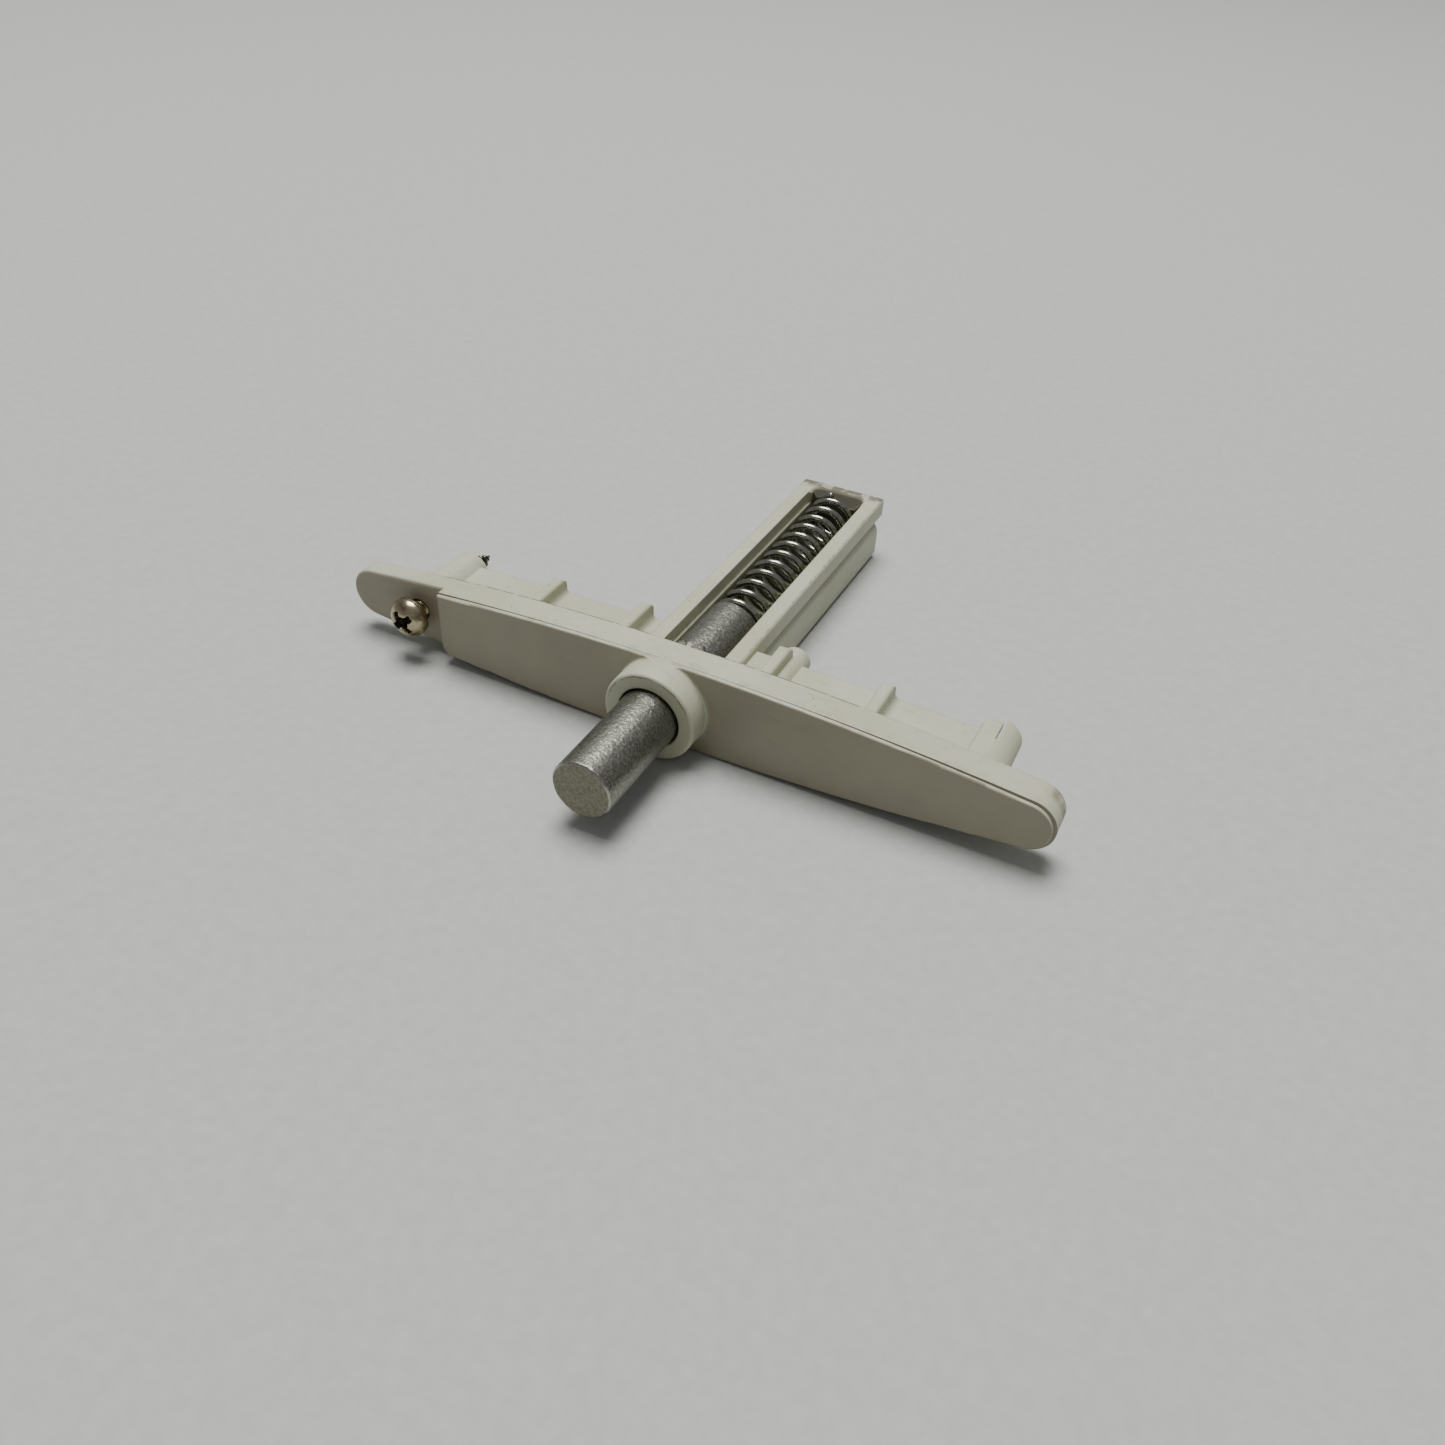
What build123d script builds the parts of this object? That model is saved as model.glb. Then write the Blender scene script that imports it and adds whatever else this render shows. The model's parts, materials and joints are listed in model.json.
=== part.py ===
from build123d import *
import os
from math import cos, pi, sin, sqrt

# Spring-loaded pivot pin in a moulded end cap for a hollow elliptical louvre blade.
# X runs along the cap's long plate, Y runs back into the blade, Z is up.
# The origin is on the pin's axis, in the plane of the cap's front face. All sizes are mm.

# ---------- pin ----------
pin_r = 4.0                 # standard 8 mm bar
pin_neck_deep = 0.2         # neck in the collar's mouth, where the free end begins
pin_neck_wide = 0.65
pin_neck_out = 0.06         # how far the neck shows outside the collar
pin_front = 19.4            # how far the nose stands out of the front face
pin_rear = 19.5             # how far the tail reaches back into the trough
pin_nose_chamfer = 0.35
pin_tail_chamfer = 0.3
ear_behind = 2.06           # middle of the staked ears, behind the plate
ear_half_len = 1.95
ear_half_wide = 0.95
ear_sink = 0.2              # an ear starts this far under the bar's skin
ear_proud = 0.75            # height of an ear above its sunk centre plane
ear_slope = 30              # degrees, slope of an ear's sides
dent_r = 0.6                # dent left between the ears by the staking tool
dent_deep = 0.45
ear_angles = (74, 114)      # degrees from +X, on the open side of the trough

# ---------- running fit ----------
bore_clear = 0.08           # radial clearance of the bore round the pin
bore_r = pin_r + bore_clear
mouth_flare = 0.22          # worn bell mouth of the collar
mouth_r = bore_r + mouth_flare
mouth_depth = 1.4

# ---------- plate ----------
plate_half_len = 50.45
plate_half_high = 6.26
plate_end_r = 3.65          # end arcs, tangent to the two long arcs
plate_t = 4.54
ear_y = plate_t + ear_behind
flange_y = 1.75             # front face of the thin left end
pad_corner_r = 1.6
panel_t = 0.55              # front panel, stepped in from the plate's outline
panel_step_mid = 0.05       # step at the middle of the plate
panel_step_end = 0.42       # step at the plate's ends
panel_end_r = 3.3
panel_edge_r = 0.3
flange_edge_r = 0.5

# ---------- collar ----------
collar_wall = 2.0
collar_r = mouth_r + collar_wall
collar_len = 3.7
collar_edge_r = 0.4
collar_root = 0.5

# ---------- trough ----------
ledge_w = 0.37              # each side's ledge, beside the bore
ledge_z = 1.25
trough_wall = 2.3           # above the ledge
trough_inner_half = bore_r + ledge_w
trough_half = trough_inner_half + trough_wall
trough_top = 3.18
trough_bottom = 0.06 - plate_half_high
trough_end = 58.6
end_wall = 2.6
well_front = plate_t - 0.1  # the trough's opening bites a little into the plate
well_end = trough_end - end_wall
well_corner_r = 1.6
well_lead = 1.5             # the end wall leans back to the rim
groove_top = 0.55
groove_bottom = -0.15
groove_depth = 1.1
rail_round = 2.0            # rounded top of the lower rail
rail_short = 1.4            # the lower rail stops short of the end
rim_edge_r = 0.45

# ---------- plug web and ribs ----------
web_end = 13.0
web_half_mid = 2.25
web_half_end = 1.35
rib_end = 13.2
rib_t = 1.75
rib_inset = 1.5             # blade wall and its clearance
rib_corner_r = 1.1
rib_edge_r = 0.45
rib_flare = 1.0             # hollow fillet where a rib meets the web
rib_xs = (-23.3, -9.6, 10.9, 25.1)

# ---------- screw bosses ----------
boss_x = 39.1               # left boss, holds the screw
web_half_len = boss_x
pad_left = 4.6 - boss_x     # the thick pad begins beside the screw's head
boss_r = 3.1
boss_rear_r = 2.65
boss_end = 14.5
boss_round = 0.8
blind_x = 39.6              # right boss, blind, its left half cut down to a step
blind_r = 2.95
blind_rear_r = 2.8
blind_end = 14.9
blind_step_x = 39.9
blind_step_z = 1.85
slot_w = 0.6                # slot at the back of the step
slot_front = 11.4
peg_x, peg_z = 11.6, 1.2    # round moulding peg beside a rib
peg_r = 1.95
peg_end = 15.2

# ---------- screw ----------
screw_proud = 1.65          # the head's underside stands off the flange as found
screw_head_y = flange_y - screw_proud
screw_head_r = 2.8
screw_head_h = 2.4
screw_core_r = 1.1
screw_thread_r = 1.45
screw_pitch = 1.1
screw_len = 18.1            # below the head
screw_tip_y = screw_head_y + screw_len
boss_bore_r = screw_core_r + 0.1
flange_hole_r = screw_thread_r + 0.15
screw_cone = 3.0
recess_arm = 1.6
recess_w = 0.85
recess_deep = 1.6
recess_turn = 38

# ---------- spring ----------
wire_r = 0.5
coil_clear = 0.28           # between the coil and the bore
coil_r = bore_r - coil_clear - wire_r
spring_front = pin_rear + 0.02
spring_rear = well_end - 0.02
coil_pitch = 3.01
closed_turns = 0.5          # half a turn lies close at each end
first_top_turn = 0.46       # turns from the wire's start to its first pass over the top

os.makedirs("parts", exist_ok=True)


def facing(y):
    """Sketch plane square to Y at the given y; sketch x is X and sketch y is Z."""
    return Plane.XZ.offset(-y)


def lens_long_r(half_high, half_len, end_r):
    """Radius of the long arcs that meet the end arcs without a kink."""
    c = half_len - end_r
    return (c * c + half_high * half_high - end_r * end_r) / (2 * (half_high - end_r))


def lens_z(x, half_high, half_len, end_r):
    """Half height of the lens outline at x."""
    big = lens_long_r(half_high, half_len, end_r)
    return half_high - (big - sqrt(big * big - x * x))


def lens_line(half_high, half_len, end_r):
    """Closed lens outline of two long arcs and two tangent end arcs."""
    big = lens_long_r(half_high, half_len, end_r)
    c = half_len - end_r
    k = big / (big - end_r)
    tx = c * k
    tz = (big - half_high) * (k - 1)
    top = ThreePointArc((-tx, tz), (0, half_high), (tx, tz))
    right = ThreePointArc((tx, tz), (half_len, 0), (tx, -tz))
    low = ThreePointArc((tx, -tz), (0, -half_high), (-tx, -tz))
    left = ThreePointArc((-tx, -tz), (-half_len, 0), (-tx, tz))
    return top, right, low, left


def web_half(x):
    """Half height of the plug web at x."""
    rise = web_half_mid - web_half_end
    big = (web_half_len * web_half_len + rise * rise) / (2 * rise)
    return web_half_mid - (big - sqrt(big * big - x * x))


def rib_top(x):
    """Half height of a rib at x, clear of the blade's wall."""
    return lens_z(x, plate_half_high, plate_half_len, plate_end_r) - rib_inset


# ================= end cap =================
with BuildPart() as end_cap:
    # thin flange over the whole outline
    with BuildSketch(facing(flange_y)):
        with BuildLine():
            lens_line(plate_half_high, plate_half_len, plate_end_r)
        make_face()
    extrude(amount=-(plate_t - flange_y))
    flange_front = end_cap.faces().sort_by(Axis.Y)[0]
    fillet(flange_front.edges(), flange_edge_r)

    # thick pad, from its straight left side to the right-hand end
    with BuildSketch(facing(panel_t)):
        with BuildLine():
            lens_line(plate_half_high, plate_half_len, plate_end_r)
        make_face()
        with Locations((pad_left + plate_half_len, 0)):
            Rectangle(2 * plate_half_len, 40, mode=Mode.INTERSECT)
        pad_corner = vertices().group_by(Axis.X)[0].sort_by(Axis.Y)[0]
        fillet(pad_corner, pad_corner_r)
    extrude(amount=-(plate_t - panel_t))

    # front panel, a slightly flatter lens so that its step grows towards the ends
    with BuildSketch(facing(0)):
        with BuildLine():
            lens_line(plate_half_high - panel_step_mid, plate_half_len - panel_step_end, panel_end_r)
        make_face()
        with Locations((pad_left + plate_half_len, 0)):
            Rectangle(2 * plate_half_len, 40, mode=Mode.INTERSECT)
        panel_corner = vertices().group_by(Axis.X)[0].sort_by(Axis.Y)[0]
        fillet(panel_corner, pad_corner_r)
    extrude(amount=-panel_t)
    panel_front = end_cap.faces().sort_by(Axis.Y)[0]
    fillet(panel_front.edges(), panel_edge_r)

    # trough, drawn as its section and extruded back
    with BuildSketch(facing(plate_t)):
        with BuildLine():
            for side in (-1, 1):
                Polyline(
                    (0, trough_top),
                    (side * trough_half, trough_top),
                    (side * trough_half, groove_top),
                    (side * (trough_half - groove_depth), groove_top),
                    (side * (trough_half - groove_depth), groove_bottom),
                )
                ThreePointArc(
                    (side * (trough_half - groove_depth), groove_bottom),
                    (side * (trough_half - 0.2), groove_bottom - 0.5 * rail_round),
                    (side * trough_half, groove_bottom - rail_round),
                )
                Polyline(
                    (side * trough_half, groove_bottom - rail_round),
                    (side * trough_half, trough_bottom),
                    (0, trough_bottom),
                )
        make_face()
        fillet(vertices().group_by(Axis.Y)[0], 0.9)
        fillet(vertices().group_by(Axis.Y)[-1], rim_edge_r)
    extrude(amount=-(trough_end - plate_t))
    # the lower rail stops short of the end wall
    with BuildSketch(facing(trough_end - rail_short)):
        with Locations((0, (groove_bottom + trough_bottom) / 2 - 0.5)):
            Rectangle(4 * trough_half, groove_bottom - trough_bottom + 1.0)
    extrude(amount=-20, mode=Mode.SUBTRACT)

    # plug web
    with BuildSketch(facing(plate_t - 0.2)):
        with BuildLine():
            web_top = ThreePointArc(
                (-web_half_len, web_half_end), (0, web_half_mid), (web_half_len, web_half_end)
            )
            web_right = Line(web_top @ 1, (web_half_len, -web_half_end))
            web_low = ThreePointArc(web_right @ 1, (0, -web_half_mid), (-web_half_len, -web_half_end))
            Line(web_low @ 1, web_top @ 0)
        make_face()
    extrude(amount=-(web_end - plate_t + 0.2))

    # ribs that locate the blade's wall, with hollow fillets down to the web
    for x in rib_xs:
        high = rib_top(x)
        with BuildSketch(facing(plate_t - 0.2)):
            with Locations((x, 0)):
                Rectangle(rib_t, 2 * high)
            fillet(vertices(), rib_edge_r)
        extrude(amount=-(rib_end - plate_t + 0.2))
        with BuildSketch(Plane.YZ.offset(x - rib_t / 2)):
            for up in (-1, 1):
                with BuildLine():
                    corner = RadiusArc(
                        (rib_end - rib_corner_r, up * high),
                        (rib_end, up * (high - rib_corner_r)),
                        up * rib_corner_r,
                    )
                    Polyline(
                        corner @ 1,
                        (rib_end + 1, up * (high - rib_corner_r)),
                        (rib_end + 1, up * (high + 1)),
                        (rib_end - rib_corner_r, up * (high + 1)),
                        corner @ 0,
                    )
                make_face()
        extrude(amount=rib_t, mode=Mode.SUBTRACT)
    for x in rib_xs:
        for side in (-1, 1):
            foot = x + side * rib_t / 2
            toe = foot + side * rib_flare
            high = web_half(toe)
            with BuildSketch(facing(plate_t - 0.2)):
                for up in (-1, 1):
                    with BuildLine():
                        flare_arc = ThreePointArc(
                            (foot, up * (high + rib_flare)),
                            (foot + side * 0.293 * rib_flare, up * (high + 0.293 * rib_flare)),
                            (toe, up * high),
                        )
                        Polyline(
                            flare_arc @ 1,
                            (toe, up * (high - 0.4)),
                            (foot, up * (high - 0.4)),
                            flare_arc @ 0,
                        )
                    make_face()
            extrude(amount=-(web_end - plate_t + 0.2))

    # screw bosses and the moulding peg
    for x, root, rear, end in (
        (-boss_x, boss_r, boss_rear_r, boss_end),
        (blind_x, blind_r, blind_rear_r, blind_end),
    ):
        with BuildSketch(Plane.XY):
            with BuildLine():
                boss_side = Polyline(
                    (x, end), (x, plate_t - 0.2), (x + root, plate_t - 0.2), (x + rear, end - boss_round)
                )
                boss_nose = ThreePointArc(
                    boss_side @ 1,
                    (x + rear - 0.293 * boss_round, end - 0.293 * boss_round),
                    (x + rear - boss_round, end),
                )
                Line(boss_nose @ 1, boss_side @ 0)
            make_face()
        revolve(axis=Axis((x, 0, 0), (0, 1, 0)))
    with BuildSketch(Plane.XY.offset(blind_step_z)):
        with Locations((blind_step_x, plate_t)):
            Rectangle(6, 20, align=(Align.MAX, Align.MIN))
    extrude(amount=5, mode=Mode.SUBTRACT)
    with BuildSketch(facing(plate_t)):
        with Locations((peg_x, peg_z)):
            Circle(peg_r)
    extrude(amount=-(peg_end - plate_t))

    # hollow fillet at the collar's root, kept within the plate's height
    with BuildSketch(Plane.XY):
        with BuildLine():
            root_arc = ThreePointArc(
                (collar_r, -collar_root),
                (collar_r + 0.293 * collar_root, -0.293 * collar_root),
                (collar_r + collar_root, 0),
            )
            Polyline(root_arc @ 1, (collar_r + collar_root, 0.2), (0, 0.2), (0, -collar_root), root_arc @ 0)
        make_face()
    revolve(axis=Axis.Y)
    with BuildSketch(facing(-collar_root - 0.1)):
        for up in (-1, 1):
            with Locations((0, up * (plate_half_high + 5 - 0.1))):
                Rectangle(4 * collar_r, 10)
    extrude(amount=-(collar_root + 0.35), mode=Mode.SUBTRACT)

    # collar round the pin
    with BuildSketch(Plane.XY):
        with BuildLine():
            collar_side = Polyline(
                (0, -collar_len),
                (0, 1.0),
                (plate_half_high - 0.01, 1.0),
                (collar_r, 0),
                (collar_r, collar_edge_r - collar_len),
            )
            collar_edge = ThreePointArc(
                collar_side @ 1,
                (collar_r - 0.293 * collar_edge_r, 0.293 * collar_edge_r - collar_len),
                (collar_r - collar_edge_r, -collar_len),
            )
            Line(collar_edge @ 1, collar_side @ 0)
        make_face()
    revolve(axis=Axis.Y)

    # bore, worn mouth and the well behind it
    with BuildSketch(facing(-collar_len - 1)):
        Circle(bore_r)
    extrude(amount=-(well_end + collar_len + 1), mode=Mode.SUBTRACT)
    with BuildSketch(Plane.XY):
        with BuildLine():
            Polyline(
                (0, -collar_len - 0.5),
                (mouth_r + 0.08, -collar_len - 0.5),
                (mouth_r, -collar_len),
                (bore_r - 0.02, -collar_len + mouth_depth),
                (0, -collar_len + mouth_depth),
                close=True,
            )
        make_face()
    revolve(axis=Axis.Y, mode=Mode.SUBTRACT)
    with BuildSketch(Plane.XY):
        with Locations((0, (well_front + well_end) / 2)):
            Rectangle(2 * bore_r, well_end - well_front)
    extrude(amount=2 * trough_top, mode=Mode.SUBTRACT)
    with BuildSketch(Plane.XY.offset(ledge_z)):
        with Locations((0, (well_front + well_end) / 2)):
            Rectangle(2 * trough_inner_half, well_end - well_front)
        fillet(vertices().group_by(Axis.Y)[-1], well_corner_r)
    extrude(amount=2 * trough_top, mode=Mode.SUBTRACT)
    with BuildSketch(Plane.XY.offset(trough_top)):
        with Locations((0, well_end + well_lead - trough_inner_half)):
            RectangleRounded(2 * trough_inner_half, 2 * trough_inner_half, well_corner_r)
    extrude(amount=-1.8, taper=38, mode=Mode.SUBTRACT)

    # screw hole through the left flange and boss, blind slotted bore in the right boss
    with BuildSketch(facing(0)):
        with Locations((-boss_x, 0)):
            Circle(flange_hole_r)
    extrude(amount=-plate_t, mode=Mode.SUBTRACT)
    with BuildSketch(facing(0)):
        with Locations((-boss_x, 0)):
            Circle(boss_bore_r)
    extrude(amount=-30, mode=Mode.SUBTRACT)
    with BuildSketch(facing(plate_t + 0.5)):
        with Locations((blind_x, 0)):
            Circle(boss_bore_r)
    extrude(amount=-30, mode=Mode.SUBTRACT)
    with BuildSketch(Plane.XY):
        with Locations((blind_step_x, slot_front)):
            Rectangle(slot_w, 20, align=(Align.CENTER, Align.MIN))
    extrude(amount=10, mode=Mode.SUBTRACT)
end_cap.part.label = "end_cap"
export_step(end_cap.part, "parts/end_cap.step")

# ================= pin =================
with BuildPart() as pin:
    with BuildSketch(facing(-pin_front)):
        Circle(pin_r)
    extrude(amount=-(pin_front + pin_rear))
    chamfer(pin.edges().filter_by(GeomType.CIRCLE).sort_by(Axis.Y)[0], pin_nose_chamfer)
    chamfer(pin.edges().filter_by(GeomType.CIRCLE).sort_by(Axis.Y)[-1], pin_tail_chamfer)
    with BuildSketch(facing(-collar_len - pin_neck_out)):
        Circle(pin_r + 1)
        Circle(pin_r - pin_neck_deep, mode=Mode.SUBTRACT)
    extrude(amount=-pin_neck_wide, mode=Mode.SUBTRACT)
    # staked ears, raised beside a dent; they stop the pin against the plate
    for angle in ear_angles:
        a = angle * pi / 180
        r = pin_r - ear_sink
        outward = (cos(a), 0, sin(a))
        with BuildSketch(Plane(origin=(r * cos(a), ear_y, r * sin(a)), x_dir=(0, 1, 0), z_dir=outward)):
            Rectangle(2 * ear_half_len, 2 * ear_half_wide)
        extrude(amount=ear_proud, taper=ear_slope)
    with BuildSketch(Plane.XY.offset(pin_r + 1)):
        with Locations((0, ear_y)):
            Circle(dent_r)
    extrude(amount=-(1 + dent_deep), mode=Mode.SUBTRACT)
pin.part.label = "pin"
export_step(pin.part, "parts/pin.step")

# ================= spring =================
wire_d = 2 * wire_r
lift = spring_rear - spring_front - wire_d
closed_lift = closed_turns * (wire_d + 0.05)
active_turns = (lift - 2 * closed_lift) / coil_pitch
total_turns = active_turns + 2 * closed_turns


def spring_y(turn):
    """Wire centre along Y: closed end turns, open turns between, eased into each other."""
    if turn <= closed_turns:
        return closed_lift * turn / closed_turns
    if turn >= total_turns - closed_turns:
        return lift - closed_lift * (total_turns - turn) / closed_turns
    return closed_lift + (lift - 2 * closed_lift) * (turn - closed_turns) / active_turns


coil_points = []
steps = round(12 * total_turns)
for i in range(steps + 1):
    turn = total_turns * i / steps
    a = 2 * pi * (turn - first_top_turn)
    coil_points.append((coil_r * sin(a), spring_front + wire_r + spring_y(turn), coil_r * cos(a)))

with BuildPart() as spring:
    with BuildLine():
        coil = Spline(coil_points)
    with BuildSketch(Plane(origin=coil @ 0, z_dir=coil % 0)):
        Circle(wire_r)
    sweep(path=coil, is_frenet=True)
spring.part.label = "spring"
export_step(spring.part, "parts/spring.step")

# ================= screw =================
thread_start = screw_head_y + 1.2
cone_start = screw_tip_y - screw_cone
turns = int((cone_start - thread_start) / screw_pitch)
profile = [(0, screw_head_y), (screw_core_r, screw_head_y), (screw_core_r, thread_start)]
for i in range(turns):
    y = thread_start + i * screw_pitch
    profile.append((screw_thread_r, y + 0.42 * screw_pitch))
    profile.append((screw_thread_r, y + 0.52 * screw_pitch))
    profile.append((screw_core_r, y + screw_pitch))
profile.append((screw_core_r, cone_start))
for i in range(2):
    y = cone_start + i * screw_pitch
    shrink = (i + 0.45) * screw_pitch / screw_cone
    profile.append((screw_thread_r * (1 - 0.8 * shrink), y + 0.45 * screw_pitch))
    profile.append((screw_core_r * (1 - (i + 0.9) * screw_pitch / screw_cone), y + 0.9 * screw_pitch))
profile.append((0, screw_tip_y))

with BuildPart() as screw:
    with BuildSketch(Plane.XY):
        with BuildLine():
            Polyline(*profile, close=True)
        make_face()
    revolve(axis=Axis.Y)
    with BuildSketch(Plane.XY):
        with BuildLine():
            rim = Line((0, screw_head_y), (screw_head_r - 0.1, screw_head_y))
            side = Line(rim @ 1, (screw_head_r, screw_head_y - 0.7))
            dome = ThreePointArc(
                side @ 1,
                (screw_head_r * 0.72, screw_head_y - screw_head_h * 0.86),
                (0, screw_head_y - screw_head_h),
            )
            Line(dome @ 1, rim @ 0)
        make_face()
    revolve(axis=Axis.Y)
    # cross recess
    for turn in (recess_turn, recess_turn + 90):
        with BuildSketch(facing(screw_head_y - screw_head_h - 0.5)):
            Rectangle(2 * recess_arm, recess_w, rotation=turn)
        extrude(amount=-(recess_deep + 0.5), taper=8, mode=Mode.SUBTRACT)
    with BuildSketch(facing(screw_head_y - screw_head_h - 0.2)):
        Circle(1.1)
    extrude(amount=-(recess_deep + 0.5), taper=22, mode=Mode.SUBTRACT)
screw.part.label = "screw"
screw_at_flange = screw.part.moved(Location((-boss_x, 0, 0)))
screw_at_flange.label = "screw"
export_step(screw_at_flange, "parts/screw.step")
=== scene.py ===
# %% [markdown]
# A spring-loaded pivot bolt in its louvre end cap.
# The cap is one plastic moulding that plugs the end of a hollow elliptical louvre blade. A round metal pin
# lies in a trough behind it, a coil spring drives the pin's nose out through a collar, and one screw holds
# the cap. The CAD model is loaded first as a fixed frame, and everything here is placed from it, in metres.

# %% Load the frame
import json
import math

import bpy
import numpy as np
from mathutils import Matrix, Vector

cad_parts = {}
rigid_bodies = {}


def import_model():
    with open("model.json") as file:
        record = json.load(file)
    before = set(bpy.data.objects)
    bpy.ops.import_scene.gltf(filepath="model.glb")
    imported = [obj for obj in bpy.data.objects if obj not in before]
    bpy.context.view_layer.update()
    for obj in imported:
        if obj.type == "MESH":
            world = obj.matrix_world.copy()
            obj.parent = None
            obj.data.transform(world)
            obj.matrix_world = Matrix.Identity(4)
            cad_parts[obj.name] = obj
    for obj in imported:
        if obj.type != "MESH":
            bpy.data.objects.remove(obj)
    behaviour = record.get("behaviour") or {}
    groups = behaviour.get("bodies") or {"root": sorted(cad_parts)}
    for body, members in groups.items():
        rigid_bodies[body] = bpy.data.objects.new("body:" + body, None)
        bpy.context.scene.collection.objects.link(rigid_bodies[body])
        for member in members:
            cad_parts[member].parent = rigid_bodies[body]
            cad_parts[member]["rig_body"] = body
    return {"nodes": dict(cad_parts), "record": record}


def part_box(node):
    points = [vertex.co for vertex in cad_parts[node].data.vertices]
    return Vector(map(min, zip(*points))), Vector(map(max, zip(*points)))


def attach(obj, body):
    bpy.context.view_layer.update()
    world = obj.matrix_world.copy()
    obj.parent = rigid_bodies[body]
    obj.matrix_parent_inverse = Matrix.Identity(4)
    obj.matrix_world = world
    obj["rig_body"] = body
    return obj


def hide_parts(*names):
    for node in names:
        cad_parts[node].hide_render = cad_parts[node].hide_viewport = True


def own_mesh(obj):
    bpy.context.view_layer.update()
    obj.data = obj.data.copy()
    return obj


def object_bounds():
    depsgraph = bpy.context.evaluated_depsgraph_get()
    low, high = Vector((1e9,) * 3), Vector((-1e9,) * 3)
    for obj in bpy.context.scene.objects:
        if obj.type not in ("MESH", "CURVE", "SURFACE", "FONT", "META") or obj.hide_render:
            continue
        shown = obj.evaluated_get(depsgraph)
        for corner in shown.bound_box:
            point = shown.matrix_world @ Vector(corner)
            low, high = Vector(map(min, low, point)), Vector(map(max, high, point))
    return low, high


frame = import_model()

MM = 0.001
cad_low, cad_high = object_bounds()
mounts = {m["name"]: m for m in frame["record"]["mounts"]}
plate_back_y = mounts["plate_back"]["pos_m"][1]
pin_r = mounts["pin_nose"]["dims"]["r_mm"] * MM
cap_low, cap_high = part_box("end_cap")
pin_low, pin_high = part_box("pin")
spring_low, spring_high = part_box("spring")
screw_low, screw_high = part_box("screw")
print("frame, mm:", [round(v / MM, 1) for v in (*cad_low, *cad_high)])

# %% [markdown]
# The camera stands above and to the right of the pin's nose, close in with a short lens, so the plate runs
# away from it and the trough narrows to the back. Its place is an aim point, a distance and three angles.

# %% Camera
aim = Vector((8.46 * MM, 0.03 * MM, 0))
distance = 153.9 * MM
azimuth, elevation, roll = 25.37, 38.48, 2.62
a, e = math.radians(azimuth), math.radians(elevation)
back = Vector((math.sin(a) * math.cos(e), -math.cos(a) * math.cos(e), math.sin(e)))
camera = bpy.data.objects.new("camera", bpy.data.cameras.new("camera"))
bpy.context.scene.collection.objects.link(camera)
bpy.context.scene.camera = camera
turned = (-back).to_track_quat("-Z", "Y").to_matrix() @ Matrix.Rotation(math.radians(roll), 3, "Z")
camera.matrix_world = Matrix.Translation(aim + back * distance) @ turned.to_4x4()
camera.data.sensor_width = 36
camera.data.lens = 31.02
camera.data.clip_start, camera.data.clip_end = 0.01, 10
print("camera at, mm:", [round(v / MM, 1) for v in camera.location])

# %% [markdown]
# Shader maths reads best as plain expressions. A Value wraps one output socket, and its operators add Math
# nodes. Everything else comes from Paint.add, which takes a node's type, its settings and its sockets.


# %% Shader helpers
class Value:
    """One output socket of a material. Arithmetic on it adds Math nodes to the same material."""

    def __init__(self, paint, socket):
        self.paint = paint
        self.socket = socket

    def math(self, operation, first, second=0.0):
        return self.paint.add("ShaderNodeMath", {"operation": operation}, {0: first, 1: second})

    def __add__(self, other):
        return self.math("ADD", self, other)

    def __sub__(self, other):
        return self.math("SUBTRACT", self, other)

    def __rsub__(self, other):
        return self.math("SUBTRACT", other, self)

    def __mul__(self, other):
        return self.math("MULTIPLY", self, other)

    def __abs__(self):
        return self.math("ABSOLUTE", self)

    __radd__ = __add__
    __rmul__ = __mul__

    def step(self, low, high):
        """0 below low, 1 above high and a smooth rise between; low above high turns it round."""
        return self.paint.add(
            "ShaderNodeMapRange",
            {"interpolation_type": "SMOOTHSTEP"},
            {"Value": self, "From Min": low, "From Max": high},
        )


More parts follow.
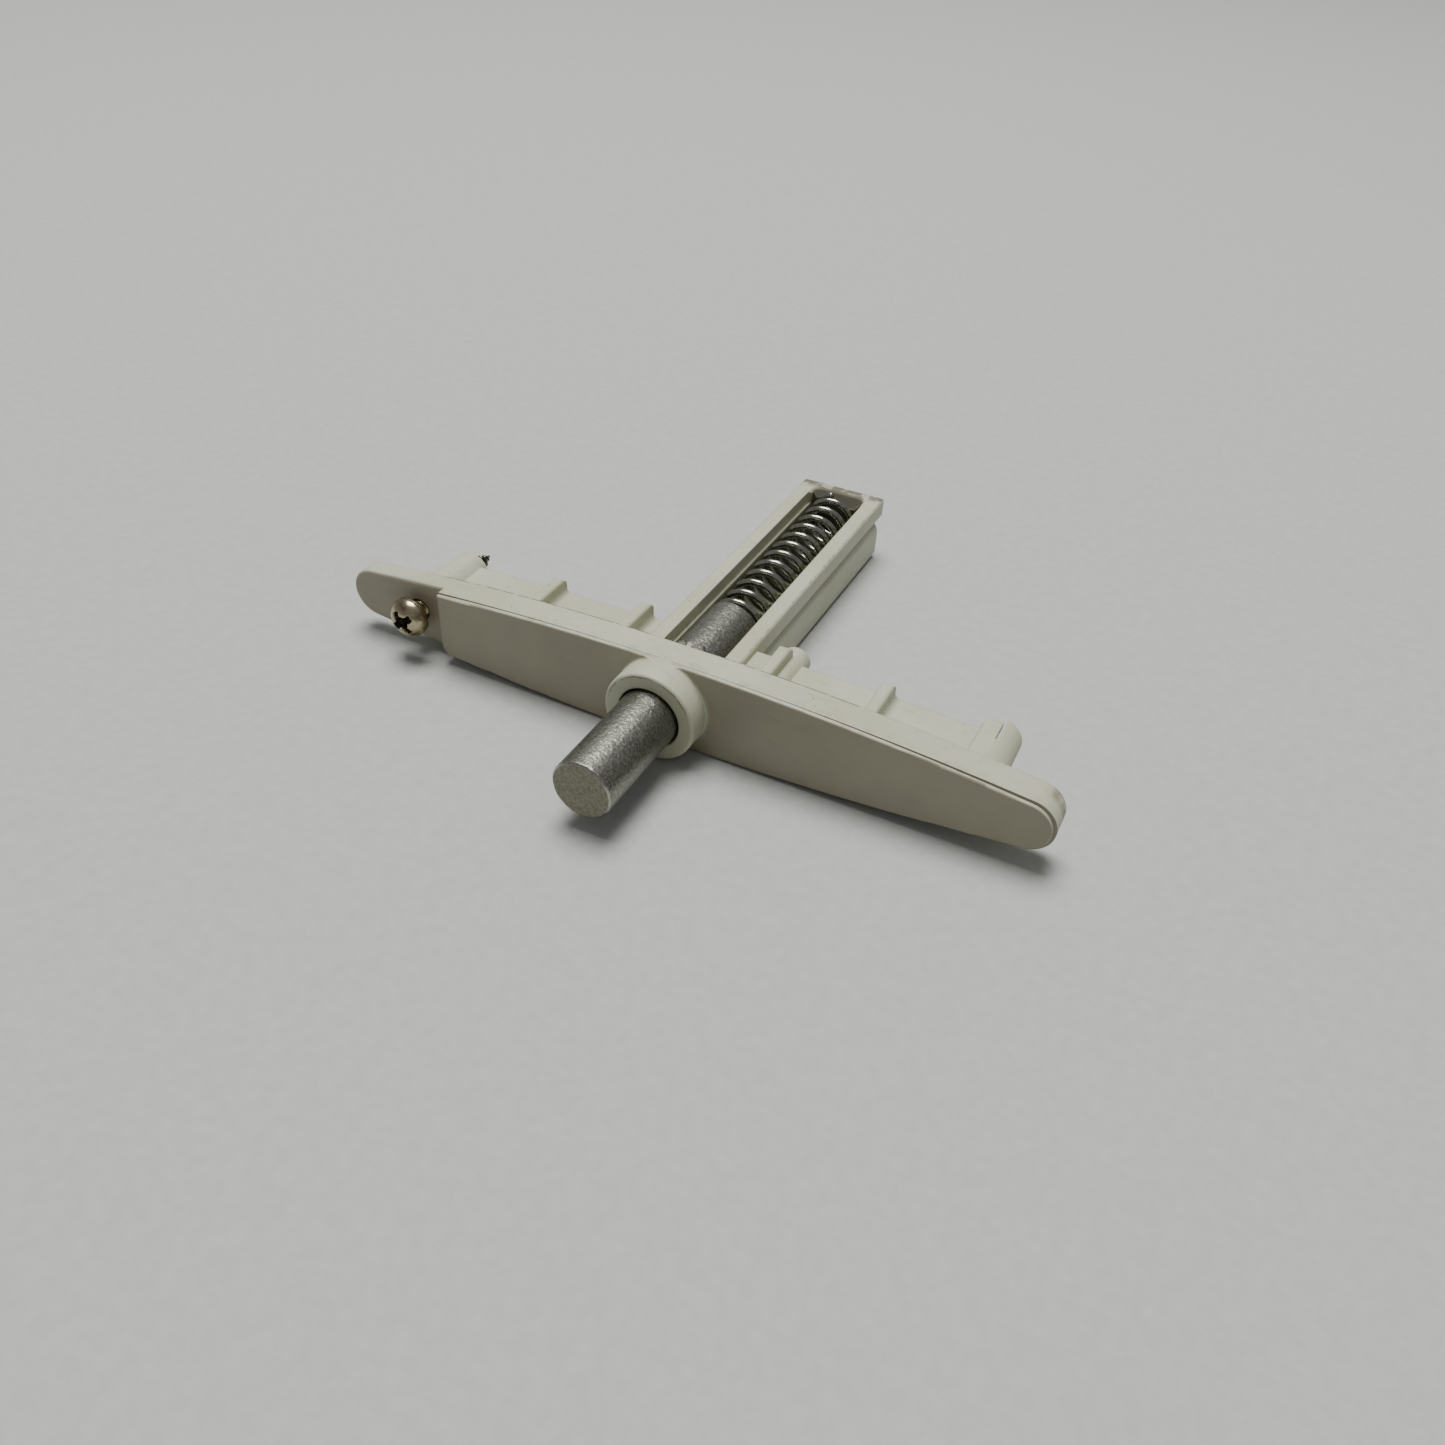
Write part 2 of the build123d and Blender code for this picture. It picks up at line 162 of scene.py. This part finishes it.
class Paint:
    """A material being made, with its Principled shader and the surface's own coordinates."""

    def __init__(self, name):
        self.material = bpy.data.materials.new(name)
        self.material.use_nodes = True
        self.tree = self.material.node_tree
        self.shader = self.tree.nodes["Principled BSDF"]
        self.place = self.add("ShaderNodeTexCoord", output="Object")
        self.colour = None

    def add(self, kind, settings=None, sockets=None, output=0):
        """Adds a node: its settings first, then a value or a link for each socket. Returns one output."""
        node = self.tree.nodes.new(kind)
        for key, value in (settings or {}).items():
            setattr(node, key, value)
        for key, value in (sockets or {}).items():
            self.feed(node.inputs[key], value)
        return Value(self, node.outputs[output])

    def feed(self, socket, value):
        if isinstance(value, Value):
            self.tree.links.new(value.socket, socket)
        elif isinstance(value, tuple) and len(value) == 3 and socket.type == "RGBA":
            socket.default_value = (*value, 1)
        else:
            socket.default_value = value

    def set(self, **sockets):
        """Sets or links the Principled shader's sockets; an underscore stands for a space."""
        for key, value in sockets.items():
            self.feed(self.shader.inputs[key.replace("_", " ")], value)

    def axes(self):
        """The surface point's X, Y and Z, in millimetres."""
        parts = self.add("ShaderNodeSeparateXYZ", sockets={0: self.place}).socket.node
        return [Value(self, parts.outputs[i]) * 1000 for i in range(3)]

    def facing(self):
        """The surface normal's X, Y and Z, in the piece's own axes."""
        normal = self.add("ShaderNodeTexCoord", output="Normal")
        parts = self.add("ShaderNodeSeparateXYZ", sockets={0: normal}).socket.node
        return [Value(self, parts.outputs[i]) for i in range(3)]

    def noise(self, size_mm, detail=3.0, rough=0.5, stretch=(1, 1, 1), twist=0.0):
        """Noise from 0 to 1 whose lumps are about size_mm across, stretched along the axes."""
        place = self.add(
            "ShaderNodeMapping", sockets={"Vector": self.place, "Scale": tuple(1 / s for s in stretch)}
        )
        return self.add(
            "ShaderNodeTexNoise",
            sockets={
                "Vector": place,
                "Scale": 1000 / size_mm,
                "Detail": detail,
                "Roughness": rough,
                "Distortion": twist,
            },
        )

    def cells(self, size_mm, feature="F1", randomness=1.0, output="Distance"):
        """Voronoi distance in a field of cells about size_mm across."""
        return self.add(
            "ShaderNodeTexVoronoi",
            {"feature": feature},
            {"Vector": self.place, "Scale": 1000 / size_mm, "Randomness": randomness},
            output,
        )

    def mix(self, share, first, second):
        """first where share is 0, second where it is 1; both are colours."""
        return self.add("ShaderNodeMix", {"data_type": "RGBA"}, {0: share, 6: first, 7: second}, 2)

    def lay(self, share, tint):
        """Lays a tint over the colour so far, as strongly as share, from 0 to 1."""
        self.colour = self.mix(share, self.colour, tint)

    def bump(self, height, distance_mm, under=None):
        """A Bump node on a height from 0 to 1, that deep, over another normal if one is given."""
        sockets = {"Height": height, "Distance": distance_mm * MM, "Strength": 1.0}
        if under is not None:
            sockets["Normal"] = under
        return self.add("ShaderNodeBump", sockets=sockets)


def near(value, middle, full, fade):
    """1 where a value is within full of the middle, fading to 0 at fade."""
    return abs(value - middle).step(fade, full)


def dress(piece, paint):
    """Gives a piece one material in place of those it came with."""
    piece.data.materials.clear()
    piece.data.materials.append(paint.material)
    print(f"{piece.name}: {paint.material.name}, {len(paint.tree.nodes)} nodes")


# %% [markdown]
# New pieces are grids of points worked out as whole arrays. Rows run along the piece and columns run round
# it, and a fan of triangles closes each end, so each mesh is a closed shell with its faces outwards.


# %% Mesh helpers
def shell(name, points):
    """Closed mesh from points[row, column]. A quad joins each point to the next row and column, columns
    wrap round, and the first and last rows each close on their middle point."""
    rows, columns = points.shape[:2]
    index = np.arange(rows * columns).reshape(rows, columns)
    right = np.roll(index, -1, axis=1)
    quads = np.stack([index[:-1], right[:-1], right[1:], index[1:]], axis=-1).reshape(-1, 4)
    ends = np.array([rows * columns, rows * columns + 1])
    first = np.stack([np.full(columns, ends[0]), right[0], index[0]], axis=-1)
    last = np.stack([np.full(columns, ends[1]), index[-1], right[-1]], axis=-1)
    middles = np.stack([points[0].mean(0), points[-1].mean(0)])
    mesh = bpy.data.meshes.new(name)
    corners = np.concatenate([points.reshape(-1, 3), middles])
    mesh.from_pydata(corners, [], quads.tolist() + first.tolist() + last.tolist())
    mesh.shade_smooth()
    piece = bpy.data.objects.new(name, mesh)
    bpy.context.scene.collection.objects.link(piece)
    print(f"{name}: {rows} x {columns} points")
    return piece


def grain(rows, columns, cells, seed):
    """Smooth random heights from 0 to 1: random values on a coarse lattice of cells = (along, round),
    eased between lattice points by 3t^2 - 2t^3, and closed round the columns."""
    lattice = np.random.default_rng(seed).random((cells[0] + 1, cells[1]))
    u = np.linspace(0, cells[0] - 1e-6, rows)[:, None]
    v = np.linspace(0, cells[1], columns, endpoint=False)[None, :]
    i, j = u.astype(int), v.astype(int)
    s, t = u - i, v - j
    s, t = s * s * (3 - 2 * s), t * t * (3 - 2 * t)
    k = (j + 1) % cells[1]
    low = lattice[i, j] * (1 - t) + lattice[i, k] * t
    high = lattice[i + 1, j] * (1 - t) + lattice[i + 1, k] * t
    return low * (1 - s) + high * s


def smooth(x, low, high):
    """0 below low, 1 above high, and 3t^2 - 2t^3 between."""
    t = np.clip((x - low) / (high - low), 0, 1)
    return t * t * (3 - 2 * t)


# %% [markdown]
# The pin is a bar of dull cast alloy, sawn and tumbled, so its skin is lumpy at a few tenths of a
# millimetre. Two ears are staked up out of it beside a dent, behind the plate, and keep it in the cap. A
# lathe profile with a height field over its skin gives all of that as real shape, and a finer grain is left
# to the bump in its material.

# %% Pin
skin_lump = 0.035 * MM
nose_chamfer = 0.32 * MM
ear_y = 6.6 * MM
ear_angles = (math.radians(16), math.radians(-24))
ear_half_len, ear_half_wide = 1.9 * MM, 1.0 * MM
ear_high = pin_high.z - pin_r - 0.02 * MM


def pin_points(rows=330, columns=216):
    """A disc out to the chamfer, a chamfer, the bar's side, a chamfer and a disc back in. On the side the
    radius falls by a random skin height, rises over each ear by the height of half an ellipsoid, and falls
    in the dent by a bell curve."""
    rim = pin_r - nose_chamfer
    face_r = np.linspace(0.04, 1, 14) * rim
    side_y = np.linspace(pin_low.y + nose_chamfer, pin_high.y - nose_chamfer, rows)
    radius = np.concatenate([face_r, np.full(rows, pin_r), face_r[::-1]])[:, None]
    y = np.concatenate([np.full(14, pin_low.y), side_y, np.full(14, pin_high.y)])[:, None]
    angle = np.linspace(0, 2 * math.pi, columns, endpoint=False)[None, :]
    total = len(radius)
    skin = 0.55 * grain(total, columns, (74, 48), 3) + 0.45 * grain(total, columns, (150, 96), 4)
    on_side = smooth(radius, rim, pin_r)
    radius = radius - skin_lump * skin * on_side
    turned = (angle + math.pi) % (2 * math.pi) - math.pi
    rough = 0.75 + 0.25 * grain(total, columns, (110, 70), 5)
    for middle in ear_angles:
        across = pin_r * (turned - middle) / ear_half_wide
        along = (y - ear_y) / ear_half_len
        ragged = 0.35 * (grain(total, columns, (130, 110), 7) - 0.5)
        dome = np.sqrt(np.clip(1 - across**2 - along**2 + ragged, 0, 1))
        radius = radius + (ear_high + skin_lump) * dome * rough
    dent = np.exp(-((pin_r * (turned + 0.07) / (0.55 * MM)) ** 2) - ((y - ear_y) / (1.3 * MM)) ** 2)
    radius = radius - 0.35 * MM * dent
    radius = np.minimum(radius, pin_high.z)
    y = y + 0.03 * MM * (skin - 0.5) * (1 - on_side) * np.sign(side_y.mean() - y)
    y = np.clip(y + 0 * angle, pin_low.y, pin_high.y)
    return np.stack([radius * np.sin(angle), y, radius * np.cos(angle)], axis=-1)


pin = shell("pin_bar", pin_points())
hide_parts("pin")
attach(pin, frame["nodes"]["pin"]["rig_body"])

# %% [markdown]
# The spring is hard-drawn wire wound right-handed on a mandrel. Its pitch closes up over half a turn at each
# end, where it bears on the pin's tail and on the trough's end wall. The wire's centre line is a helix, and
# a ring carried along it makes the wire. The slide shortens the spring.

# %% Spring
wire = 1.0 * MM
coil_pitch = 3.01 * MM
end_turns = 0.5
end_rise = 1.05 * wire * end_turns
first_top_turn = 0.46


def spring_points(rows_per_turn=60, columns=20):
    """Helix of constant radius whose height rises slowly over each end and evenly between, carried by a
    ring of the wire's radius that is square to the tangent; the ends are ground flat."""
    coil_r = (spring_high.x - spring_low.x) / 2 - wire / 2
    rise = spring_high.y - spring_low.y - wire
    turns = (rise - 2 * end_rise) / coil_pitch + 2 * end_turns
    t = np.linspace(0, turns, int(rows_per_turn * turns))
    y = np.interp(t, [0, end_turns, turns - end_turns, turns], [0, end_rise, rise - end_rise, rise])
    width = int(0.3 * rows_per_turn)
    padded = np.pad(y, width, mode="reflect", reflect_type="odd")
    y = np.convolve(padded, np.ones(2 * width + 1) / (2 * width + 1), mode="valid")
    a = 2 * math.pi * (t - first_top_turn)
    out = np.stack([np.sin(a), 0 * a, np.cos(a)], axis=-1)
    line = out * coil_r + np.stack([0 * a, spring_low.y + wire / 2 + y, 0 * a], axis=-1)
    along = np.gradient(line, axis=0)
    along /= np.linalg.norm(along, axis=1, keepdims=True)
    side = np.cross(along, out)
    ring = np.linspace(0, 2 * math.pi, columns, endpoint=False)[None, :, None]
    points = line[:, None] + wire / 2 * (np.cos(ring) * out[:, None] + np.sin(ring) * side[:, None])
    points[..., 1] = np.clip(points[..., 1], spring_low.y, spring_high.y)
    return points


spring = shell("spring_coil", spring_points())
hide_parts("spring")
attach(spring, frame["nodes"]["spring"]["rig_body"])
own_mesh(spring)

# %% [markdown]
# The screw is a pan-head self-tapping screw, nickel plated, its cross recess chewed by a worn driver. One
# lathe profile gives the head, shank and point. The thread is a ridge that follows a helix, so the radius
# depends on both the angle and the distance along, and the recess is pushed in as a depth over the head.

# %% Screw
screw_x = (screw_low.x + screw_high.x) / 2
head_r = (screw_high.x - screw_low.x) / 2
head_under = screw_low.y + 2.4 * MM
core_r, crest_r, thread_pitch = 1.08 * MM, 1.44 * MM, 1.1 * MM
point_len = 3.0 * MM
recess_arm, recess_wide, recess_deep = 1.72 * MM, 0.92 * MM, 1.55 * MM
recess_turn = math.radians(38)


def recess_depth(x, z, worn):
    """Cross of two rounded slots, each deepest in the middle and shallow at its tips, with a round pit."""
    c, s = math.cos(recess_turn), math.sin(recess_turn)
    depth = np.zeros_like(x)
    for u, v in ((x * c + z * s, z * c - x * s), (z * c - x * s, x * c + z * s)):
        wide = recess_wide * (0.5 + 0.09 * worn)
        inside = smooth(-np.abs(v), -wide - 0.07 * MM, -wide + 0.07 * MM)
        ends = smooth(-np.abs(u), -recess_arm - 0.06 * MM, -recess_arm + 0.12 * MM)
        slope = 1 - 0.55 * np.clip(np.abs(u) / recess_arm, 0, 1)
        depth = np.maximum(depth, recess_deep * inside * ends * slope)
    pit = smooth(-np.hypot(x, z), -1.05 * MM, -0.7 * MM)
    return np.maximum(depth, recess_deep * 0.9 * pit)


def screw_points(columns=168):
    """Dome, edge, underside and threaded shank in one profile of radius and distance along the axis."""
    dome_r = head_r * np.sin(np.linspace(0.02, math.pi / 2, 120))
    dome_y = head_under - 0.55 * MM - 1.85 * MM * (1 - (dome_r / head_r) ** 2.7) ** 0.62
    edge_y = np.linspace(head_under - 0.5 * MM, head_under, 5)
    under_r = np.linspace(head_r - 0.06 * MM, core_r, 8)
    shank_y = np.linspace(head_under + 0.05 * MM, screw_high.y - 0.02 * MM, 300)
    radius = np.concatenate([dome_r, np.full(5, head_r - 0.02 * MM), under_r, np.full(300, core_r)])[:, None]
    y = np.concatenate([dome_y, edge_y, np.full(8, head_under), shank_y])[:, None]
    angle = np.linspace(0, 2 * math.pi, columns, endpoint=False)[None, :]
    phase = (y / thread_pitch - angle / (2 * math.pi)) % 1
    ridge = np.clip(1 - np.abs(phase - 0.5) / 0.28, 0, 1) ** 0.8
    threaded = smooth(y, head_under + 0.3 * MM, head_under + 0.9 * MM)
    point = np.clip((screw_high.y - y) / point_len, 0, 1) ** 0.8
    shank = (core_r + (crest_r - core_r) * ridge * threaded) * np.maximum(point, 0.02)
    is_shank = (np.arange(len(y)) >= len(y) - 300)[:, None]
    radius = np.where(is_shank, shank, radius + 0 * angle)
    x, z = radius * np.sin(angle), radius * np.cos(angle)
    worn = grain(len(y), columns, (60, 40), 8) - 0.5
    is_dome = (np.arange(len(y)) < 120)[:, None]
    depth = np.where(is_dome, recess_depth(x, z, 2 * worn), 0)
    return np.stack([screw_x + x, y + depth, z], axis=-1), depth


points, depth = screw_points()
screw = shell("screw_body", points)
recess = screw.data.attributes.new("recess", "FLOAT", "POINT")
recess.data.foreach_set("value", np.append(depth.ravel() / recess_deep, [1, 0]).astype(np.float32))
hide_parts("screw")
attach(screw, frame["nodes"]["screw"]["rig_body"])

# %% [markdown]
# The moulding is a satin, faintly yellowed white plastic that has been outdoors. Its colour varies slowly.
# Its front is painted darker and browner than its top, partly as brown grime and partly as painted shade,
# except on the collar's face, which rubs on the frame and stays pale. Oil from the pin and the spring has
# turned the trough khaki, and below the ledge it is painted almost black as painted shade.

# %% Moulding: base colour
cap_paint = Paint("moulded_plastic")
x, y, z = cap_paint.axes()
nx, ny, nz = cap_paint.facing()
pale, yellowed, front_brown_and_shade = (0.46, 0.475, 0.365), (0.42, 0.42, 0.30), (0.245, 0.215, 0.155)
# The darkest colour here is real dirt for specks and rim edges, and painted shade in corners, creases and at
# the trough's end.
grime_and_shade, khaki, trough_shade = (0.055, 0.048, 0.035), (0.36, 0.35, 0.235), (0.10, 0.098, 0.062)
trough_back = cap_high.y / MM
plate_back = plate_back_y / MM
well_half, well_back, rim_z, ledge_z = 4.45, trough_back - 0.9, 3.18, 1.25

cloud = cap_paint.noise(14, detail=4)
stain = cap_paint.noise(6, detail=5, rough=0.6)
smear = cap_paint.noise(1.6, detail=6, rough=0.7)
broken = cap_paint.noise(1.1, detail=3).step(0.36, 0.5)
cap_paint.colour = cap_paint.mix(cloud.step(0.35, 0.7), pale, yellowed)
# The front faces are painted darker and browner, partly brown grime and partly painted shade from the light
# behind.
front = ny.step(-0.45, -0.9) * y.step(-1.5, -0.6)
cap_paint.lay(front * (0.58 + 0.35 * stain), front_brown_and_shade)
in_trough = abs(x).step(well_half + 0.15, well_half - 0.15) * y.step(plate_back - 0.14, plate_back + 0.26)
in_trough = in_trough * y.step(well_back + 0.2, well_back - 0.2)
in_trough = in_trough * z.step(rim_z - 0.08, rim_z - 0.48) * z.step(-4.7, -4.4)
cap_paint.lay(in_trough * (0.35 + 0.4 * stain), khaki)
# Below the ledge the trough is painted almost black, as painted shade under the ledge and the spring.
cap_paint.lay(in_trough * z.step(ledge_z + 0.05, ledge_z - 1.05) * 0.9, trough_shade)
print("moulding base:", len(cap_paint.tree.nodes), "nodes")

# %% [markdown]
# The back of the trough is painted dark, as painted shadow of its end wall, and grease has run over its rim.
# The inner corners, as an ambient occlusion mask finds them, are darkened in broken patches as painted
# shade, and a broken black line of painted shade lies in the crease where the ribs meet the plate. The
# stepped front panel has a tan line near the plate's ends.

# %% Moulding: grease, creases and painted shade
# The back of the trough is painted dark, as painted shadow of the end wall.
end_wall_shadow = in_trough * (y + 1.5 * stain).step(trough_back - 3.1, trough_back - 1.4)
cap_paint.lay(end_wall_shadow * 0.9, grime_and_shade)
greasy = abs(x).step(7.2, 6.4) * (y + 2.5 * stain).step(trough_back - 1.4, trough_back + 0.7)
cap_paint.lay(greasy * z.step(2.9, 3.1) * smear.step(0.4, 0.52), (0.13, 0.12, 0.08))
panel_seam = near(y, 0.6, 0.15, 0.45) * z.step(2.5, 3.5) * ny.step(0.5, -0.2)
occlusion = cap_paint.add("ShaderNodeAmbientOcclusion", {"samples": 8}, {"Distance": 1.2 * MM}, "AO")
# Inner corners, as ambient occlusion finds them, are darkened in broken patches as painted shade.
corner = occlusion.step(0.6, 0.15) * (1 - panel_seam)
cap_paint.lay(corner * smear.step(0.35, 0.65) * 0.6, grime_and_shade)
tan_line = panel_seam * near(y, 0.45, 0.06, 0.16) * abs(x + 5).step(24, 28) * broken
cap_paint.lay(tan_line * 0.6, (0.3, 0.23, 0.13))
# A broken black line of painted shade lies in the crease along the plate's back edge.
back_crease_shade = near(y, plate_back - 0.07, 0.05, 0.1) * nz.step(0.2, 0.5)
back_crease_shade = back_crease_shade * x.step(24.4, 24.1) * x.step(-36.5, -35.5)
cap_paint.lay(back_crease_shade * broken * 0.85, grime_and_shade)
print("with grease:", len(cap_paint.tree.nodes), "nodes")

# %% [markdown]
# Handling has left specks, long scuffs, a rubbed brown front edge, dirty outer edges on the trough's rim and
# a ragged brown lip round the top of the collar's ring; the right end has a dark brown patch.

# %% Moulding: wear
speck_patch = cap_paint.noise(6, detail=2).step(0.5, 0.66)
specks = (cap_paint.cells(1.1) + 0.06 * smear).step(0.16, 0.09) * speck_patch
cap_paint.lay(specks * (0.25 + 0.7 * nz.step(0.2, 0.6)), grime_and_shade)
scuff = cap_paint.noise(0.9, detail=6, rough=0.75, stretch=(3, 1, 1)).step(0.54, 0.68)
cap_paint.lay(scuff * 0.3, (0.22, 0.19, 0.125))
top_edge = near(y, 0.5, 0.3, 1.5) * nz.step(0.3, 0.7)
cap_paint.lay(top_edge * smear.step(0.45, 0.7) * 0.45, (0.25, 0.2, 0.125))
right_end_patch = x.step(47.2, 49.2) * y.step(2.2, 3.6) * z.step(-1.5, 1.0) * smear.step(0.38, 0.52)
cap_paint.lay(right_end_patch * 0.6, (0.13, 0.1, 0.06))
rim_edge = near(abs(x), 6.6, 0.1, 0.3) * z.step(2.95, 3.1) * y.step(5, 6)
cap_paint.lay(rim_edge * smear.step(0.45, 0.65) * 0.5, grime_and_shade)
in_face = cap_paint.add("ShaderNodeCombineXYZ", sockets={0: x, 2: z})
ring = cap_paint.add("ShaderNodeVectorMath", {"operation": "LENGTH"}, {0: in_face}, "Value")
ragged = cap_paint.noise(1.0, detail=4, rough=0.6)
lip = near(ring, 5.6 + 0.55 * ragged, 0.03, 0.16) * (y - cap_low.y / MM).step(0.45, 0.3)
cap_paint.lay(lip * z.step(0.5, 3.5) * smear.step(0.4, 0.55) * 0.8, (0.2, 0.15, 0.085))
print("with wear:", len(cap_paint.tree.nodes), "nodes")

# %% [markdown]
# The mould's polish has gone: the surface has low lumps and fine pits. A Bevel node rounds the shading of
# every edge, which a moulding of this size has from its tool.

# %% Moulding: surface
pitted = cap_paint.noise(0.35, detail=4, rough=0.6)
lumps = cap_paint.noise(2.5, detail=3)
round_edges = cap_paint.add("ShaderNodeBevel", {"samples": 8}, {"Radius": 0.36 * MM})
relief = cap_paint.bump(lumps, 0.03, round_edges)
relief = cap_paint.bump(pitted, 0.012, relief)
cap_paint.set(Base_Color=cap_paint.colour, Roughness=0.42 + 0.18 * smear, Normal=relief, IOR=1.5)
dress(frame["nodes"]["end_cap"], cap_paint)

# %% [markdown]
# The pin's alloy is dull and crystalline: every grain takes the light at its own angle, so the highlight
# along the bar breaks up into sparks. The sawn nose is flatter, duller and a little khaki, with a bright
# burnished rim where it enters its socket.

# %% Pin finish
pin_paint = Paint("cast_alloy")
x, y, z = pin_paint.axes()
nx, ny, nz = pin_paint.facing()
crystal = pin_paint.cells(0.4, "SMOOTH_F1")
fleck = pin_paint.noise(0.32, detail=5, rough=0.65)
cloudy = pin_paint.noise(1.3, detail=5, rough=0.6)
long_rub = pin_paint.noise(0.8, detail=4, rough=0.6, stretch=(1, 5, 1))
nose = ny.step(-0.75, -0.95)
rim = (y - (pin_low.y / MM + 0.1)).step(0.25, 0.1) * ny.step(-0.95, -0.7) * ny.step(-0.15, -0.35)
ear_zone = near(y, ear_y / MM, 1.6, 2.6) * z.step(3.95, 4.05)
pin_paint.colour = pin_paint.mix(fleck.step(0.35, 0.68), (0.17, 0.174, 0.156), (0.36, 0.355, 0.305))
pin_paint.lay(cloudy.step(0.5, 0.75) * 0.45, (0.1, 0.1, 0.095))
sawn = pin_paint.mix(fleck.step(0.3, 0.75), (0.16, 0.15, 0.11), (0.3, 0.28, 0.21))
pin_paint.lay(nose * 0.9, sawn)
pin_paint.lay(rim * 0.5, (0.55, 0.53, 0.47))
pin_paint.lay(ear_zone, (0.85, 0.8, 0.66))
pin_relief = pin_paint.bump(crystal, 0.032)
pin_relief = pin_paint.bump(fleck, 0.035, pin_relief)
pin_relief = pin_paint.bump(long_rub, 0.05, pin_relief)
pin_paint.set(
    Base_Color=pin_paint.colour,
    Metallic=1.0 - 0.5 * nose,
    Roughness=0.31 + 0.16 * cloudy + 0.16 * nose - 0.2 * (rim + ear_zone).step(0, 1),
    Normal=pin_relief,
)
dress(pin, pin_paint)

# %% [markdown]
# The spring's wire is bright but oily, with fine marks from the die it was drawn through.

# %% Spring finish
wire_paint = Paint("drawn_wire")
draw_marks = wire_paint.noise(0.5, detail=4, rough=0.6)
steel = wire_paint.mix(draw_marks.step(0.3, 0.75), (0.4, 0.41, 0.36), (0.22, 0.22, 0.185))
wire_paint.set(
    Base_Color=steel,
    Metallic=1.0,
    Roughness=0.12 + 0.12 * draw_marks,
    Normal=wire_paint.bump(draw_marks, 0.006),
)
dress(spring, wire_paint)

# %% [markdown]
# The screw's nickel is warm and tarnished. The recess is painted almost black as painted shade, and the
# point has lost its plating.

# %% Screw finish
nickel_paint = Paint("worn_nickel")
in_recess = nickel_paint.add("ShaderNodeAttribute", {"attribute_name": "recess"}, output="Fac")
tarnish = nickel_paint.noise(1.3, detail=4)
scratch = nickel_paint.noise(0.25, detail=4, rough=0.7)
screw_colour = nickel_paint.mix(tarnish.step(0.35, 0.75), (0.46, 0.4, 0.27), (0.22, 0.17, 0.1))
# The recess is painted almost black, as painted shade.
screw_colour = nickel_paint.mix(in_recess.step(0.15, 0.5), screw_colour, (0.03, 0.025, 0.02))
tip = nickel_paint.axes()[1].step(13.5, 14.5)
screw_colour = nickel_paint.mix(tip, screw_colour, (0.07, 0.07, 0.05))
nickel_paint.set(
    Base_Color=screw_colour,
    Metallic=1.0,
    Roughness=0.16 + 0.12 * scratch + 0.3 * in_recess.step(0.1, 0.4),
    Normal=nickel_paint.bump(scratch, 0.008),
)
dress(screw, nickel_paint)

# %% [markdown]
# The object lies on a pale matt sheet. One large soft light hangs above and behind, so the tops are bright,
# the fronts are in half shade and the shadow falls gently towards the camera.

# %% Floor and light
floor_paint = Paint("pale_sheet")
paper = floor_paint.noise(1.5, detail=5, rough=0.6)
floor_paint.set(
    Base_Color=floor_paint.mix(paper.step(0.3, 0.7), (0.425, 0.435, 0.42), (0.455, 0.465, 0.45)),
    Roughness=0.8,
    Normal=floor_paint.bump(paper, 0.07),
)
half = 2.0
floor_mesh = bpy.data.meshes.new("floor")
floor_z = cad_low.z
floor_mesh.from_pydata(
    [(-half, -half, floor_z), (half, -half, floor_z), (half, half, floor_z), (-half, half, floor_z)],
    [],
    [(0, 1, 2, 3)],
)
floor = bpy.data.objects.new("floor", floor_mesh)
bpy.context.scene.collection.objects.link(floor)
floor_mesh.materials.append(floor_paint.material)


def soft_light(name, place_mm, size_mm, watts, colour=(1, 1, 1)):
    """Square area light of that size at a place, turned to the middle of the object."""
    lamp = bpy.data.lights.new(name, "AREA")
    lamp.energy = watts
    lamp.size = size_mm * MM
    lamp.color = colour
    made = bpy.data.objects.new(name, lamp)
    made.location = Vector(place_mm) * MM
    made.rotation_euler = (-made.location).to_track_quat("-Z", "Y").to_euler()
    bpy.context.scene.collection.objects.link(made)


soft_light("overhead", (-170, 260, 1300), 700, 26, (1.0, 0.995, 0.965))
world = bpy.data.worlds.new("room")
bpy.context.scene.world = world
world.use_nodes = True
world.node_tree.nodes["Background"].inputs["Color"].default_value = (0.98, 0.98, 1.0, 1)
world.node_tree.nodes["Background"].inputs["Strength"].default_value = 0.27
